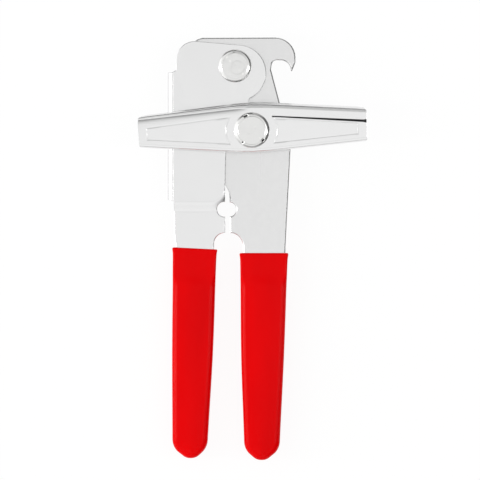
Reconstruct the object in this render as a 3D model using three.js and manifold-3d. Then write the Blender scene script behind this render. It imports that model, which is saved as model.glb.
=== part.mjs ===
// A gear-driven can opener with two plier-like handles, lying on its back.
// Millimetres. Seen from the key side: x runs right, y runs from the grips to the bottle hook,
// z runs from the rear of the drive shaft toward the turn key. The origin is the drive shaft's rear end.
import * as THREE from 'three';
import { mergeVertices } from 'three/addons/utils/BufferGeometryUtils.js';
import Module from 'manifold-3d';

const wasm = await Module();
wasm.setup();

// Clearances
const axialGap = 0.2;
const boreGap = 0.25;
const pocketGap = 0.3;
const washerGap = 0.1;

// Sheets and the stack along the drive shaft, from the rear
const sheet = 1.6;
const keySheet = 1.0;
const plateSpace = 0.6;
const stakedEnd = 1.0;
const endWasherThick = 1.0;
const studHeadThick = 0.8;
const cutterWasherThick = 0.5;
const bladeThick = 1.0;
const rimSpace = 4.4;
const gearThick = 2.5;
const thrustWasherThick = 0.5;
const rivetHeadHeight = 1.9;
const keySweepGap = 0.5;
const keyDepth = 5.0;
const keyWasherThick = 0.7;
const shaftHeadHeight = 1.8;
const bushFlangeThick = 0.6;

// Turned pieces
const shaftRadius = 4.0;
const shaftHeadRadius = 7.4;
const stakedRadius = 5.2;
const endWasherRadius = 6.6;
const bushWall = 1.1;
const bushFlangeRadius = 6.6;
const collarRadius = 6.2;
const keyWasherRadius = 6.9;
const pivotRadius = 3.0;
const pivotHeadRadius = 6.9;
const pivotTailRadius = 4.6;
const pivotTailHeight = 1.1;
const pivotWasherRadius = 6.0;
const spacerWasherRadius = 7.5;
const tailWasherThick = 0.7;
const studRadius = 3.0;
const studHeadRadius = 4.6;
const studFrontHeight = 1.0;
const cutterSpacerRadius = 5.0;
const cutterWasherRadius = 5.4;

// Gears, feed wheel and cutter
const toothModule = 1.5;
const driveTeeth = 11;
const cutterTeeth = 15;
const pressureAngle = Math.PI / 9;
const addendum = 0.85 * toothModule;
const dedendum = 1.15 * toothModule;
const backlash = 0.3;
const restSpread = 0.6;
const feedRadius = 8.2;
const feedTeeth = 20;
const feedToothDepth = 0.7;
const bladeToWasher = 1.9;
const bladeBevel = 2.0;
const hubRadius = 7.5;
const rootLift = 0.3;
const feedCrest = [0.42, 0.58];
const bladeLand = 0.15;

// Broken edges of the turned pieces
const fineChamfer = 0.3;
const chamfer = 0.4;
const studRivet = 0.5;
const shaftDome = { run: 1.1, rise: 1.0 };
const pivotDome = { run: 1.4, shoulder: 0.6, rim: 0.7, drop: 0.25 };
const pivotTail = { run: 0.8, rise: 0.6 };

// Layout in plan
const pivot = new THREE.Vector2(-7.0, 27.1);
const gearDistance = toothModule * (driveTeeth + cutterTeeth) / 2;
const cutter = new THREE.Vector2(-(gearDistance + restSpread), 0);
const bladeRadius = gearDistance + restSpread - endWasherRadius - bladeToWasher;
const backPlateTop = 39.2;
const shaftRecess = 10.8;
const recessLean = 0.4;
const flangeTop = 24.5;
const flangeBottom = -29.1;
const flangeX = -35.2;
const flangeDepth = 5.6;
const flangeBend = 2.2;
const joggleY = -29.4;
const joggleRun = 4.2;
const joggleRimRadius = 5.8;
const joggleRimSetIn = 7.2;
const slotGap = 1.9;
const slotX = -10.2;
const notchY = -33.0;
const notchRadius = 3.05;
const notchShift = 0.28;
const archTop = -42.8;
const archBottom = -48.5;
const roundEndRadius = 11.8;
const roundEndOffset = new THREE.Vector2(1.3, -2.9);
const roundEndSweep = [-66, 84.5];
const shaftRecessSweep = [186, 98];
const frontCornerRise = 11.2;
const frontCornerRadius = 8;
const frontCornerSetIn = 1.2;
const panelSetIn = 0.4;
const backCorner = { left: -14.0, cut: -18.6, cutRise: 10.2, cutRadius: 4, waist: -16.5, waistDrop: 6 };
const tongue = { edge: -12.0, bend: -18, shoulder: -22.8, foot: -25.6, shoulderSetIn: 1.9, footSetIn: 0.4,
  footRise: 0.8 };
const backWaist = { low: 2.4, lowY: -6, high: 1.8, highY: 3, radius: 8 };
const hook = {
  neck: 15.1, neckFoot: 3.7, neckFootDrop: 15.4, neckTopDrop: 1.3, mouth: 8.2, mouthRise: 2.45,
  mouthRadius: 2, innerSetIn: 0.5, innerRadius: 4.2, tipDrop: 2.1, tipWidth: 0.5, outer: 2.1, outerRise: 1.6,
  outerRadius: 4, backRadius: 8.5 };

// Handles and grips
const gripTipRadius = 5;
const gripShoulderRadius = 6;
const vinyl = 0.9;
const gripDepth = 11.0;
const channelStart = -60.0;
const channelRun = 14.0;
const gripEdgeChamfer = 1.2;
const leftGrip = {
  top: -49.3, outerTop: -33.1, innerTop: -14.6, outerLow: -33.3, innerLow: -18.6, tipX: -25.4, tip: -137.7,
  slant: 0.9 };
const rightGrip = {
  top: -51.2, outerTop: 15.2, innerTop: -4.9, outerLow: 11.7, innerLow: -3.1, tipX: 4.1, tip: -138.5,
  slant: 0.0 };
const gripTipRise = 4.5;
const gripTipDrop = 1.8;
const coreLap = 2;
const coreShow = 0.5;

// Turn key, in its own axes along the wings
const keyRestAngle = 2.1;
const keyLeft = -47.6;
const keyRight = 48.1;
const keyHubTop = 12.0;
const keyHubBottom = -9.6;
const leftTipTop = 7.5;
const leftTipBottom = -5.5;
const rightTipTop = 7.9;
const rightTipBottom = -6.2;
const upperEdgeRadius = 2.4;
const lowerEdgeRadius = 1.7;
const seamStart = 8.6;
const seamInset = 5.3;
const seamWidth = 0.8;
const panelDepth = 0.3;
const panelHubGap = 2.4;
const panelTipInset = 3.8;
const panelTopInset = 5.4;
const panelBottomInset = 3.4;
const panelSeamGap = 0.8;
const panelCorner = 1;
const keyEnd = { leftFoot: 0.8, leftCut: 2.3, leftOver: 0.2, leftDrop: 4.3, rightCut: 2 };
const overshoot = 1.1;

// Levels along z, from the clearances and thicknesses above
const level = {};
level.bladeRear = studHeadThick + cutterWasherThick + 1.5 * axialGap;
level.wheelRear = level.bladeRear + bladeThick + axialGap;
level.gearRear = level.wheelRear + rimSpace + axialGap;
level.gearFront = level.gearRear + gearThick;
level.plateRear = level.gearFront + thrustWasherThick + 2 * axialGap;
level.plateFront = level.plateRear + sheet;
level.frontRear = level.plateFront + plateSpace;
level.frontFront = level.frontRear + sheet;
level.keyRear = level.frontFront + washerGap + rivetHeadHeight + keySweepGap;
level.keyFront = level.keyRear + keyDepth;
level.gripFront = level.plateFront + vinyl + pocketGap;
level.gripRear = level.gripFront - gripDepth;

const far = 200;
const arcStep = Math.PI / 16;

// ---- Geometry helpers ----

function solidOf(geometry) {
  geometry.deleteAttribute('normal');
  geometry.deleteAttribute('uv');
  const merged = mergeVertices(geometry, 1e-5);
  const mesh = new wasm.Mesh({
    numProp: 3,
    vertProperties: new Float32Array(merged.attributes.position.array),
    triVerts: new Uint32Array(merged.index.array),
  });
  return new wasm.Manifold(mesh);
}

function geometryOf(solid) {
  const mesh = solid.getMesh();
  const geometry = new THREE.BufferGeometry();
  geometry.setAttribute('position', new THREE.BufferAttribute(mesh.vertProperties, 3));
  geometry.setIndex(new THREE.BufferAttribute(mesh.triVerts, 1));
  geometry.computeVertexNormals();
  return geometry;
}

// A flat-ended block of an outline between two levels.
function prism(points, zLow, zHigh) {
  const shape = new THREE.Shape(points);
  const geometry = new THREE.ExtrudeGeometry(shape, { depth: zHigh - zLow, bevelEnabled: false });
  geometry.translate(0, 0, zLow);
  return solidOf(geometry);
}

// A profile in (y, z) drawn across the whole width in x.
function sideBlock(points, xLow, xHigh) {
  const shape = new THREE.Shape(points);
  const geometry = new THREE.ExtrudeGeometry(shape, { depth: xHigh - xLow, bevelEnabled: false });
  const axes = new THREE.Matrix4().makeBasis(
    new THREE.Vector3(0, 1, 0), new THREE.Vector3(0, 0, 1), new THREE.Vector3(1, 0, 0));
  geometry.applyMatrix4(axes);
  geometry.translate(xLow, 0, 0);
  return solidOf(geometry);
}

// A profile of (radius, z) turned about an axis along z. Rings close on themselves.
function turned(profile, sides = 48) {
  const points = profile.map(([radius, height]) => new THREE.Vector2(radius, height));
  const geometry = new THREE.LatheGeometry(points, sides);
  geometry.rotateX(Math.PI / 2);
  return solidOf(geometry);
}

function ring(inner, outer, zLow, zHigh, sides) {
  return turned([[inner, zLow], [outer, zLow], [outer, zHigh], [inner, zHigh], [inner, zLow]], sides);
}

function disc(radius, zLow, zHigh, sides) {
  return turned([[0, zLow], [radius, zLow], [radius, zHigh], [0, zHigh]], sides);
}

function arc(centre, radius, from, to) {
  const steps = Math.max(2, Math.round(Math.abs(to - from) / arcStep));
  const points = [];
  for (let i = 0; i <= steps; i += 1) {
    const angle = from + (to - from) * i / steps;
    points.push(new THREE.Vector2(centre.x + radius * Math.cos(angle), centre.y + radius * Math.sin(angle)));
  }
  return points;
}

const degrees = (value) => value * Math.PI / 180;

// Corners as [x, y, radius] become one outline with round corners; a Vector2 is kept as it is.
function outline(corners) {
  const at = corners.map((corner) => (corner.isVector2 ? corner : new THREE.Vector2(corner[0], corner[1])));
  const points = [];
  corners.forEach((corner, i) => {
    const radius = corner.isVector2 ? 0 : corner[2] ?? 0;
    const here = at[i];
    const before = at[(i + at.length - 1) % at.length].clone().sub(here).normalize();
    const after = at[(i + 1) % at.length].clone().sub(here).normalize();
    const angle = Math.acos(THREE.MathUtils.clamp(before.dot(after), -1, 1));
    if (radius === 0 || Math.PI - angle < 0.02) {
      points.push(here.clone());
      return;
    }
    const between = before.clone().add(after).normalize();
    const centre = here.clone().addScaledVector(between, radius / Math.sin(angle / 2));
    const start = here.clone().addScaledVector(before, radius / Math.tan(angle / 2)).sub(centre).angle();
    const end = here.clone().addScaledVector(after, radius / Math.tan(angle / 2)).sub(centre).angle();
    const sweep = THREE.MathUtils.euclideanModulo(end - start + Math.PI, 2 * Math.PI) - Math.PI;
    points.push(...arc(centre, radius, start, start + sweep));
  });
  return points;
}

const metal = (color, roughness) => ({ color, roughness, metalness: 1 });
const finish = {
  frontPlate: metal(0xe9e9e9, 0.22),
  backPlate: metal(0xe0e0e0, 0.26),
  key: metal(0xe6e6e6, 0.24),
  rivet: metal(0xe4e4e2, 0.2),
  steel: metal(0xb9babb, 0.38),
  blade: metal(0xc9cacc, 0.25),
  grip: { color: 0xdf0a12, roughness: 0.3, metalness: 0 },
};

function piece(name, solid, look) {
  const mesh = new THREE.Mesh(geometryOf(solid), new THREE.MeshStandardMaterial(look));
  mesh.name = name;
  return mesh;
}

// ---- Grips and the handle cores inside them ----

// Plan outline of a grip, drawn inward by an inset. The tip is a soft V.
function gripOutline(grip, inset, top) {
  const side = Math.sign(grip.outerTop - grip.innerTop);
  const lowY = grip.tip + gripTipRise;
  const halfTip = Math.atan(Math.abs(grip.outerLow - grip.innerLow) / 2 / (gripTipRise + gripTipDrop));
  const vertexY = grip.tip + inset - Math.max(gripTipRadius - inset, 0.6) * (1 / Math.sin(halfTip) - 1);
  const share = (y) => (grip.top - y) / (grip.top - lowY);
  const outer = (y) => THREE.MathUtils.lerp(grip.outerTop, grip.outerLow, share(y)) - side * inset;
  const inner = (y) => THREE.MathUtils.lerp(grip.innerTop, grip.innerLow, share(y)) + side * inset;
  const corners = [
    [outer(top), top + grip.slant / 2],
    [inner(top), top - grip.slant / 2],
    [inner(lowY), lowY + inset / 2, gripShoulderRadius],
    [grip.tipX, vertexY, Math.max(gripTipRadius - inset, 0.6)],
    [outer(lowY), lowY + inset / 2, gripShoulderRadius],
  ];
  return outline(side < 0 ? corners : corners.reverse());
}

// Side profile that makes the channel deepen gradually below the flat stretch.
function channelSide(rear, flatRear, front) {
  return [
    new THREE.Vector2(-far, rear),
    new THREE.Vector2(channelStart - channelRun, rear),
    new THREE.Vector2(channelStart, flatRear),
    new THREE.Vector2(far, flatRear),
    new THREE.Vector2(far, front),
    new THREE.Vector2(-far, front),
  ];
}

// The steel channel inside a grip: a plate with two walls turned back.
function handleCore(grip, grow, top) {
  const inset = vinyl + pocketGap - grow;
  const plate = prism(gripOutline(grip, inset, top), level.plateRear - grow, level.plateFront + grow);
  const wallRear = level.gripRear + vinyl + pocketGap - grow;
  const outside = prism(gripOutline(grip, inset, channelStart), wallRear, level.plateRear);
  const inside = prism(gripOutline(grip, inset + sheet + 2 * grow, far), -far, level.plateRear - grow);
  const taper = sideBlock(channelSide(wallRear, level.plateRear - grow, far), -far, far);
  return plate.add(outside.intersect(taper).subtract(inside));
}

function dippedGrip(grip) {
  const edge = gripEdgeChamfer;
  const shape = new THREE.Shape(gripOutline(grip, edge, grip.top - edge));
  const geometry = new THREE.ExtrudeGeometry(shape, {
    depth: gripDepth - 2 * edge,
    bevelThickness: edge,
    bevelSize: edge,
    bevelSegments: 2,
  });
  geometry.translate(0, 0, level.gripRear + edge);
  const thinRear = level.plateRear - pocketGap - vinyl;
  const body = solidOf(geometry).intersect(
    sideBlock(channelSide(level.gripRear, thinRear, level.gripFront), -far, far));
  const coat = 2 * (vinyl + pocketGap) + sheet;
  const hollow = prism(gripOutline(grip, coat, channelStart), -far, thinRear);
  return body.subtract(hollow).subtract(handleCore(grip, pocketGap, far));
}

// ---- Handles ----

// The level-changing sheet: a raised mesa beside the joggle, and the same face one sheet lower.
function joggledSheet() {
  const rimCentre = new THREE.Vector2(slotX - joggleRimSetIn, joggleY + joggleRimRadius);
  const edge = (spread) => [
    new THREE.Vector2(-far, joggleY - spread),
    ...arc(rimCentre, joggleRimRadius + spread, -Math.PI / 2, 0),
    new THREE.Vector2(far, rimCentre.y + joggleRimRadius),
    new THREE.Vector2(far, far),
    new THREE.Vector2(-far, far),
  ];
  const rise = level.frontFront - level.plateFront;
  const sunk = 1;
  const low = edge(joggleRun * (rise + sunk) / rise);
  const ramp = loft(low, edge(0), level.plateFront - sunk, level.frontFront);
  const base = prism(outline([[-far, -far], [far, -far], [far, far], [-far, far]]), -far, level.plateFront);
  const mesa = base.add(ramp);
  return mesa.subtract(mesa.translate(0, 0, -sheet));
}

// A solid between two outlines of as many points, one at each level.
function loft(low, high, zLow, zHigh) {
  const count = low.length;
  const positions = [];
  low.forEach((point) => positions.push(point.x, point.y, zLow));
  high.forEach((point) => positions.push(point.x, point.y, zHigh));
  const index = [];
  THREE.ShapeUtils.triangulateShape(low, []).forEach(([a, b, c]) => {
    index.push(a, c, b);
  });
  THREE.ShapeUtils.triangulateShape(high, []).forEach(([a, b, c]) => {
    index.push(count + a, count + b, count + c);
  });
  for (let i = 0; i < count; i += 1) {
    const next = (i + 1) % count;
    index.push(i, next, count + next);
    index.push(i, count + next, count + i);
  }
  const geometry = new THREE.BufferGeometry();
  geometry.setAttribute('position', new THREE.Float32BufferAttribute(positions, 3));
  geometry.setIndex(index);
  return solidOf(geometry);
}

// The stiffening flange folded back along the front plate's left edge.
function leftFlange() {
  const shape = new THREE.Shape();
  const bendX = flangeX + flangeBend;
  shape.moveTo(bendX + 1, 0);
  shape.lineTo(bendX, 0);
  shape.absarc(bendX, -flangeBend, flangeBend, Math.PI / 2, Math.PI, false);
  shape.lineTo(flangeX, -flangeDepth);
  shape.lineTo(flangeX + sheet, -flangeDepth);
  shape.lineTo(flangeX + sheet, -flangeBend);
  shape.absarc(bendX, -flangeBend, flangeBend - sheet, Math.PI, Math.PI / 2, true);
  shape.lineTo(bendX + 1, -sheet);
  shape.closePath();
  const geometry = new THREE.ExtrudeGeometry(shape, {
    depth: flangeTop - flangeBottom, bevelEnabled: false, curveSegments: 8 });
  geometry.rotateX(Math.PI / 2);
  geometry.translate(0, flangeTop, level.frontFront);
  return solidOf(geometry);
}

function hole(at, radius) {
  return disc(radius, -far, far, 40).translate(at.x, at.y, 0);
}

function leftHandle() {
  const left = flangeX + flangeBend;
  const slotEdge = slotX - slotGap / 2;
  const coreLeft = leftGrip.outerTop + vinyl + pocketGap;
  const coreRight = leftGrip.innerTop - vinyl - pocketGap;
  const archRadius = slotEdge - coreRight;
  const notch = new THREE.Vector2(slotEdge - notchShift, notchY);
  const notchTurn = Math.acos(notchShift / notchRadius);
  const plan = outline([
    ...arc(pivot.clone().add(roundEndOffset), roundEndRadius, ...roundEndSweep.map(degrees)),
    [left + frontCornerSetIn, pivot.y + frontCornerRise, frontCornerRadius],
    [left + frontCornerSetIn, flangeTop + 2 * washerGap],
    [left, flangeTop + washerGap],
    [left, flangeBottom - washerGap],
    [left + panelSetIn, joggleY - joggleRun],
    [left + panelSetIn, archTop],
    [coreLeft, archBottom],
    [coreLeft, leftGrip.top - coreLap],
    [coreRight, leftGrip.top - coreLap],
    ...arc(new THREE.Vector2(slotEdge, archTop - archRadius), archRadius, degrees(180), degrees(90)),
    ...arc(notch, notchRadius, 2 * Math.PI - notchTurn, notchTurn),
    [slotEdge, joggleY + joggleRimRadius],
    [slotEdge + recessLean, -shaftRecess + 1],
    ...arc(new THREE.Vector2(), shaftRecess, ...shaftRecessSweep.map(degrees)),
  ]);
  return prism(plan, 0, far)
    .intersect(joggledSheet())
    .add(leftFlange())
    .add(handleCore(leftGrip, 0, leftGrip.top + coreShow))
    .subtract(hole(pivot, pivotRadius + boreGap))
    .subtract(hole(cutter, studRadius + boreGap));
}

function rightHandle() {
  const slotEdge = slotX + slotGap / 2;
  const coreRight = rightGrip.outerTop - vinyl - pocketGap;
  const coreLeft = rightGrip.innerTop + vinyl + pocketGap;
  const archRadius = coreLeft - slotEdge;
  const notch = new THREE.Vector2(slotEdge - notchShift, notchY);
  const notchTurn = Math.acos(notchShift / notchRadius);
  const neckX = pivot.x + hook.neck;
  const tipX = neckX + hook.mouth;
  const plan = outline([
    [pivot.x + backCorner.left, backPlateTop, 1],
    [pivot.x + backCorner.cut, pivot.y + backCorner.cutRise, backCorner.cutRadius],
    [pivot.x + backCorner.waist, pivot.y - backCorner.waistDrop, 6],
    [tongue.edge + 1, -tongue.bend / 2, 8],
    [tongue.edge, tongue.bend, 4],
    [slotEdge - tongue.shoulderSetIn, tongue.shoulder],
    [slotEdge - tongue.footSetIn, tongue.foot],
    [slotEdge, joggleY + tongue.footRise],
    ...arc(notch, notchRadius, notchTurn, -notchTurn),
    ...arc(new THREE.Vector2(slotEdge, archTop - archRadius), archRadius, degrees(90), degrees(0)),
    [coreLeft, rightGrip.top - coreLap],
    [coreRight, rightGrip.top - coreLap],
    [coreRight, archBottom],
    [coreRight + backWaist.low, backWaist.lowY, 10],
    [coreRight + backWaist.high, backWaist.highY, backWaist.radius],
    [neckX + hook.neckFoot, pivot.y - hook.neckFootDrop, 12],
    [neckX, pivot.y - hook.neckTopDrop, hook.mouthRadius],
    [neckX + hook.tipWidth, pivot.y + hook.mouthRise, hook.mouthRadius],
    [tipX - hook.innerSetIn, pivot.y + hook.mouthRise, hook.innerRadius],
    [tipX, pivot.y - hook.tipDrop],
    [tipX + hook.tipWidth, pivot.y - hook.tipDrop],
    [tipX + hook.outer, pivot.y + hook.outerRise, hook.outerRadius],
    [tipX + hook.outer, backPlateTop, hook.backRadius],
  ].reverse());
  return prism(plan, level.plateRear, level.plateFront)
    .add(handleCore(rightGrip, 0, rightGrip.top + coreShow))
    .subtract(hole(pivot, pivotRadius + boreGap))
    .subtract(hole(new THREE.Vector2(), shaftRadius + boreGap + bushWall + boreGap));
}

// ---- Pivot ----

const rivetRear = level.plateRear - washerGap - tailWasherThick - washerGap - pivotTailHeight;

function pivotRivet() {
  const head = level.frontFront + washerGap;
  const rim = pivotHeadRadius - pivotDome.run;
  return turned([
    [0, rivetRear],
    [pivotTailRadius - pivotTail.run, rivetRear],
    [pivotTailRadius, rivetRear + pivotTail.rise],
    [pivotTailRadius, rivetRear + pivotTailHeight],
    [pivotRadius, rivetRear + pivotTailHeight],
    [pivotRadius, head],
    [pivotHeadRadius, head],
    [pivotHeadRadius, head + pivotDome.rim],
    [rim + pivotDome.shoulder, head + rivetHeadHeight - pivotDome.drop],
    [rim, head + rivetHeadHeight],
    [0, head + rivetHeadHeight],
  ]).translate(pivot.x, pivot.y, 0);
}

function pivotWashers() {
  const bore = pivotRadius + boreGap;
  const between = ring(bore, spacerWasherRadius, level.plateFront + washerGap, level.frontRear - washerGap);
  const tailTop = level.plateRear - washerGap;
  const tail = ring(bore, pivotWasherRadius, tailTop - tailWasherThick, tailTop);
  return [between.translate(pivot.x, pivot.y, 0), tail.translate(pivot.x, pivot.y, 0)];
}

// ---- Pieces on the drive shaft ----

const headRear = level.keyFront + axialGap;

function driveShaft() {
  const rim = shaftHeadRadius - shaftDome.run;
  return turned([
    [0, 0],
    [stakedRadius - chamfer, 0],
    [stakedRadius, chamfer],
    [stakedRadius, stakedEnd],
    [shaftRadius, stakedEnd],
    [shaftRadius, headRear],
    [shaftHeadRadius, headRear],
    [shaftHeadRadius, headRear + shaftHeadHeight - shaftDome.rise],
    [rim, headRear + shaftHeadHeight],
    [0, headRear + shaftHeadHeight],
  ]);
}

function shaftBushing() {
  const bore = shaftRadius + boreGap;
  const front = level.plateFront + washerGap;
  return turned([
    [bore, level.plateRear],
    [bore + bushWall, level.plateRear],
    [bore + bushWall, front],
    [bushFlangeRadius, front],
    [bushFlangeRadius, front + bushFlangeThick],
    [bore, front + bushFlangeThick],
    [bore, level.plateRear],
  ]);
}

const collarRear = level.plateFront + washerGap + bushFlangeThick + axialGap;
const keyWasherFront = level.keyRear - washerGap;

function keyCollar() {
  const top = keyWasherFront - keyWasherThick - washerGap;
  const bore = shaftRadius + boreGap;
  return turned([
    [bore, collarRear],
    [collarRadius - chamfer, collarRear],
    [collarRadius, collarRear + chamfer],
    [collarRadius, top - chamfer],
    [collarRadius - chamfer, top],
    [bore, top],
    [bore, collarRear],
  ]);
}

function keyWasher() {
  return ring(shaftRadius + boreGap, keyWasherRadius, keyWasherFront - keyWasherThick, keyWasherFront);
}

function feedWheel() {
  const points = [];
  const pitch = 2 * Math.PI / feedTeeth;
  for (let i = 0; i < feedTeeth; i += 1) {
    [[0, feedToothDepth], [feedCrest[0], 0], [feedCrest[1], 0]].forEach(([share, depth]) => {
      const angle = pitch * (i + share);
      points.push(new THREE.Vector2(feedRadius - depth, 0).rotateAround(new THREE.Vector2(), angle));
    });
  }
  const blank = prism(points, level.wheelRear, level.wheelRear + rimSpace);
  return blank.subtract(hole(new THREE.Vector2(), shaftRadius + boreGap));
}

function shaftEndWasher() {
  const rear = stakedEnd + axialGap;
  return ring(shaftRadius + boreGap, endWasherRadius, rear, rear + endWasherThick);
}

// ---- Gears ----

const involute = (angle) => Math.tan(angle) - angle;

// Tooth outline of a spur gear with one tooth centred on a direction.
function gearOutline(teeth, direction) {
  const pitchRadius = toothModule * teeth / 2;
  const baseRadius = pitchRadius * Math.cos(pressureAngle);
  const halfTooth = Math.PI / 2 / teeth - backlash / 2 / pitchRadius;
  const halfAt = (radius) => {
    const angle = Math.acos(Math.min(1, baseRadius / radius));
    return halfTooth + involute(pressureAngle) - involute(angle);
  };
  const root = pitchRadius - dedendum;
  const tip = pitchRadius + addendum;
  const radii = [root, Math.max(root + rootLift, baseRadius), pitchRadius, (pitchRadius + tip) / 2, tip];
  const points = [];
  for (let i = 0; i < teeth; i += 1) {
    const centre = direction + 2 * Math.PI * i / teeth;
    const flank = radii.map((radius) => [radius, halfAt(radius)]);
    flank.forEach(([radius, half]) => points.push(polar(radius, centre - half)));
    [...flank].reverse().forEach(([radius, half]) => points.push(polar(radius, centre + half)));
  }
  return points;
}

function polar(radius, angle) {
  return new THREE.Vector2(radius * Math.cos(angle), radius * Math.sin(angle));
}

function driveGear() {
  const blank = prism(gearOutline(driveTeeth, Math.PI), level.gearRear, level.gearFront);
  return blank.subtract(hole(new THREE.Vector2(), shaftRadius + boreGap));
}

function gearThrustWasher() {
  const rear = level.gearFront + axialGap;
  return ring(shaftRadius + boreGap, endWasherRadius, rear, rear + thrustWasherThick);
}

// ---- Pieces on the cutter stud ----

function onStud(solid) {
  return solid.translate(cutter.x, cutter.y, 0);
}

const studBore = studRadius + boreGap;

function cutterStud() {
  const front = level.frontFront + axialGap;
  return onStud(turned([
    [0, 0],
    [studHeadRadius - fineChamfer, 0],
    [studHeadRadius, fineChamfer],
    [studHeadRadius, studHeadThick],
    [studRadius, studHeadThick],
    [studRadius, front],
    [studHeadRadius, front],
    [studHeadRadius - studRivet, front + studFrontHeight],
    [0, front + studFrontHeight],
  ]));
}

function cutterEndWasher() {
  const rear = studHeadThick + axialGap / 2;
  return onStud(ring(studBore, cutterWasherRadius, rear, rear + cutterWasherThick));
}

function cutterWheel() {
  const front = level.bladeRear + bladeThick;
  return onStud(turned([
    [studBore, level.bladeRear],
    [bladeRadius - bladeBevel, level.bladeRear],
    [bladeRadius, front - bladeLand],
    [bladeRadius, front],
    [studBore, front],
    [studBore, level.bladeRear],
  ], 64));
}

function cutterHub() {
  const rear = level.wheelRear;
  const front = rear + rimSpace;
  return onStud(turned([
    [studBore, rear],
    [hubRadius - fineChamfer, rear],
    [hubRadius, rear + fineChamfer],
    [hubRadius, front - fineChamfer],
    [hubRadius - fineChamfer, front],
    [studBore, front],
    [studBore, rear],
  ]));
}

function cutterGear() {
  const blank = prism(gearOutline(cutterTeeth, Math.PI / cutterTeeth), level.gearRear, level.gearFront);
  return onStud(blank.subtract(hole(new THREE.Vector2(), studBore)));
}

function cutterSpacer() {
  return onStud(ring(studBore, cutterSpacerRadius, level.gearFront + axialGap, level.frontRear - axialGap));
}

// ---- Turn key ----

// Height of the key's upper or lower edge at a place along the wings.
function keyEdgeAt(x, hub, leftTip, rightTip) {
  return x < 0
    ? THREE.MathUtils.lerp(hub, leftTip, x / keyLeft)
    : THREE.MathUtils.lerp(hub, rightTip, x / keyRight);
}

const keyTopAt = (x) => keyEdgeAt(x, keyHubTop, leftTipTop, rightTipTop);
const keyBottomAt = (x) => keyEdgeAt(x, keyHubBottom, leftTipBottom, rightTipBottom);

// The flattened tube that both wings are pressed from, drawn inward by an inset.
function keyBlock(inset, reach) {
  const section = (x) => {
    const top = keyTopAt(x) - inset;
    const bottom = keyBottomAt(x) + inset;
    return outline([
      [bottom, level.keyFront - inset, lowerEdgeRadius - inset],
      [bottom, level.keyRear + inset, lowerEdgeRadius - inset],
      [top, level.keyRear + inset, upperEdgeRadius - inset],
      [top, level.keyFront - inset, upperEdgeRadius - inset],
    ]);
  };
  const wing = (from, to) => {
    const upright = new THREE.Matrix4().makeBasis(
      new THREE.Vector3(0, 1, 0), new THREE.Vector3(0, 0, 1), new THREE.Vector3(1, 0, 0));
    return loft(section(from), section(to), from, to).transform(upright.elements);
  };
  return wing(keyLeft * reach, 0).add(wing(0, keyRight * reach));
}

// A narrow slot along the seam where the sheet's edges meet.
function keySeam(tip, zLow, zHigh) {
  const start = Math.sign(tip) * seamStart;
  const end = tip * overshoot;
  const low = (x) => keyTopAt(x) - seamInset - seamWidth / 2;
  const corners = [
    [start, low(start)],
    [end, low(end)],
    [end, low(end) + seamWidth],
    [start, low(start) + seamWidth],
  ];
  return prism(outline(tip > 0 ? corners : corners.reverse()), zLow, zHigh);
}

function keyPanel(tip, topInset) {
  const side = Math.sign(tip);
  const near = side * (shaftHeadRadius + panelHubGap);
  const end = tip - side * panelTipInset;
  const corners = [
    [near, keyBottomAt(near) + panelBottomInset, panelCorner],
    [end, keyBottomAt(end) + panelBottomInset, panelCorner],
    [end, keyTopAt(end) - topInset, panelCorner],
    [near, keyTopAt(near) - topInset, panelCorner],
  ];
  return prism(outline(side > 0 ? corners : corners.reverse()), level.keyFront - panelDepth, far);
}

function turnKey() {
  const ends = prism(outline([
    [keyLeft + keyEnd.leftFoot, -far],
    [keyRight, -far],
    [keyRight, rightTipTop, keyEnd.rightCut],
    [keyRight - keyEnd.rightCut, far],
    [keyLeft + keyEnd.leftCut, far],
    [keyLeft + keyEnd.leftCut, leftTipTop],
    [keyLeft - keyEnd.leftOver, leftTipTop - keyEnd.leftDrop],
  ]), -far, far);
  return keyBlock(0, 1)
    .intersect(ends)
    .subtract(keyBlock(keySheet, overshoot))
    .subtract(keySeam(keyRight, level.keyFront - 1.5 * keySheet, far))
    .subtract(keySeam(keyLeft, -far, level.keyRear + 1.5 * keySheet))
    .subtract(keyPanel(keyLeft, panelTopInset))
    .subtract(keyPanel(keyRight, seamInset + panelSeamGap))
    .subtract(hole(new THREE.Vector2(), shaftRadius + boreGap))
    .rotate([0, 0, keyRestAngle]);
}

// ---- Assembly ----

const opener = new THREE.Group();
const [spacerWasher, tailWasher] = pivotWashers();
opener.add(
  piece('right_handle', rightHandle(), finish.backPlate),
  piece('left_handle', leftHandle(), finish.frontPlate),
  piece('right_grip', dippedGrip(rightGrip), finish.grip),
  piece('left_grip', dippedGrip(leftGrip), finish.grip),
  piece('pivot_rivet', pivotRivet(), finish.rivet),
  piece('pivot_spacer_washer', spacerWasher, finish.steel),
  piece('pivot_tail_washer', tailWasher, finish.steel),
  piece('turn_key', turnKey(), finish.key),
  piece('drive_shaft', driveShaft(), finish.rivet),
  piece('shaft_bushing', shaftBushing(), finish.steel),
  piece('key_collar', keyCollar(), finish.steel),
  piece('key_washer', keyWasher(), finish.steel),
  piece('gear_thrust_washer', gearThrustWasher(), finish.steel),
  piece('drive_gear', driveGear(), finish.steel),
  piece('feed_wheel', feedWheel(), finish.steel),
  piece('shaft_end_washer', shaftEndWasher(), finish.steel),
  piece('cutter_stud', cutterStud(), finish.rivet),
  piece('cutter_spacer', cutterSpacer(), finish.steel),
  piece('cutter_gear', cutterGear(), finish.steel),
  piece('cutter_hub', cutterHub(), finish.steel),
  piece('cutter_wheel', cutterWheel(), finish.blade),
  piece('cutter_end_washer', cutterEndWasher(), finish.steel),
);
export default opener;
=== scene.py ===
import math

import bmesh
import bpy
from mathutils import Matrix, Vector, noise


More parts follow.
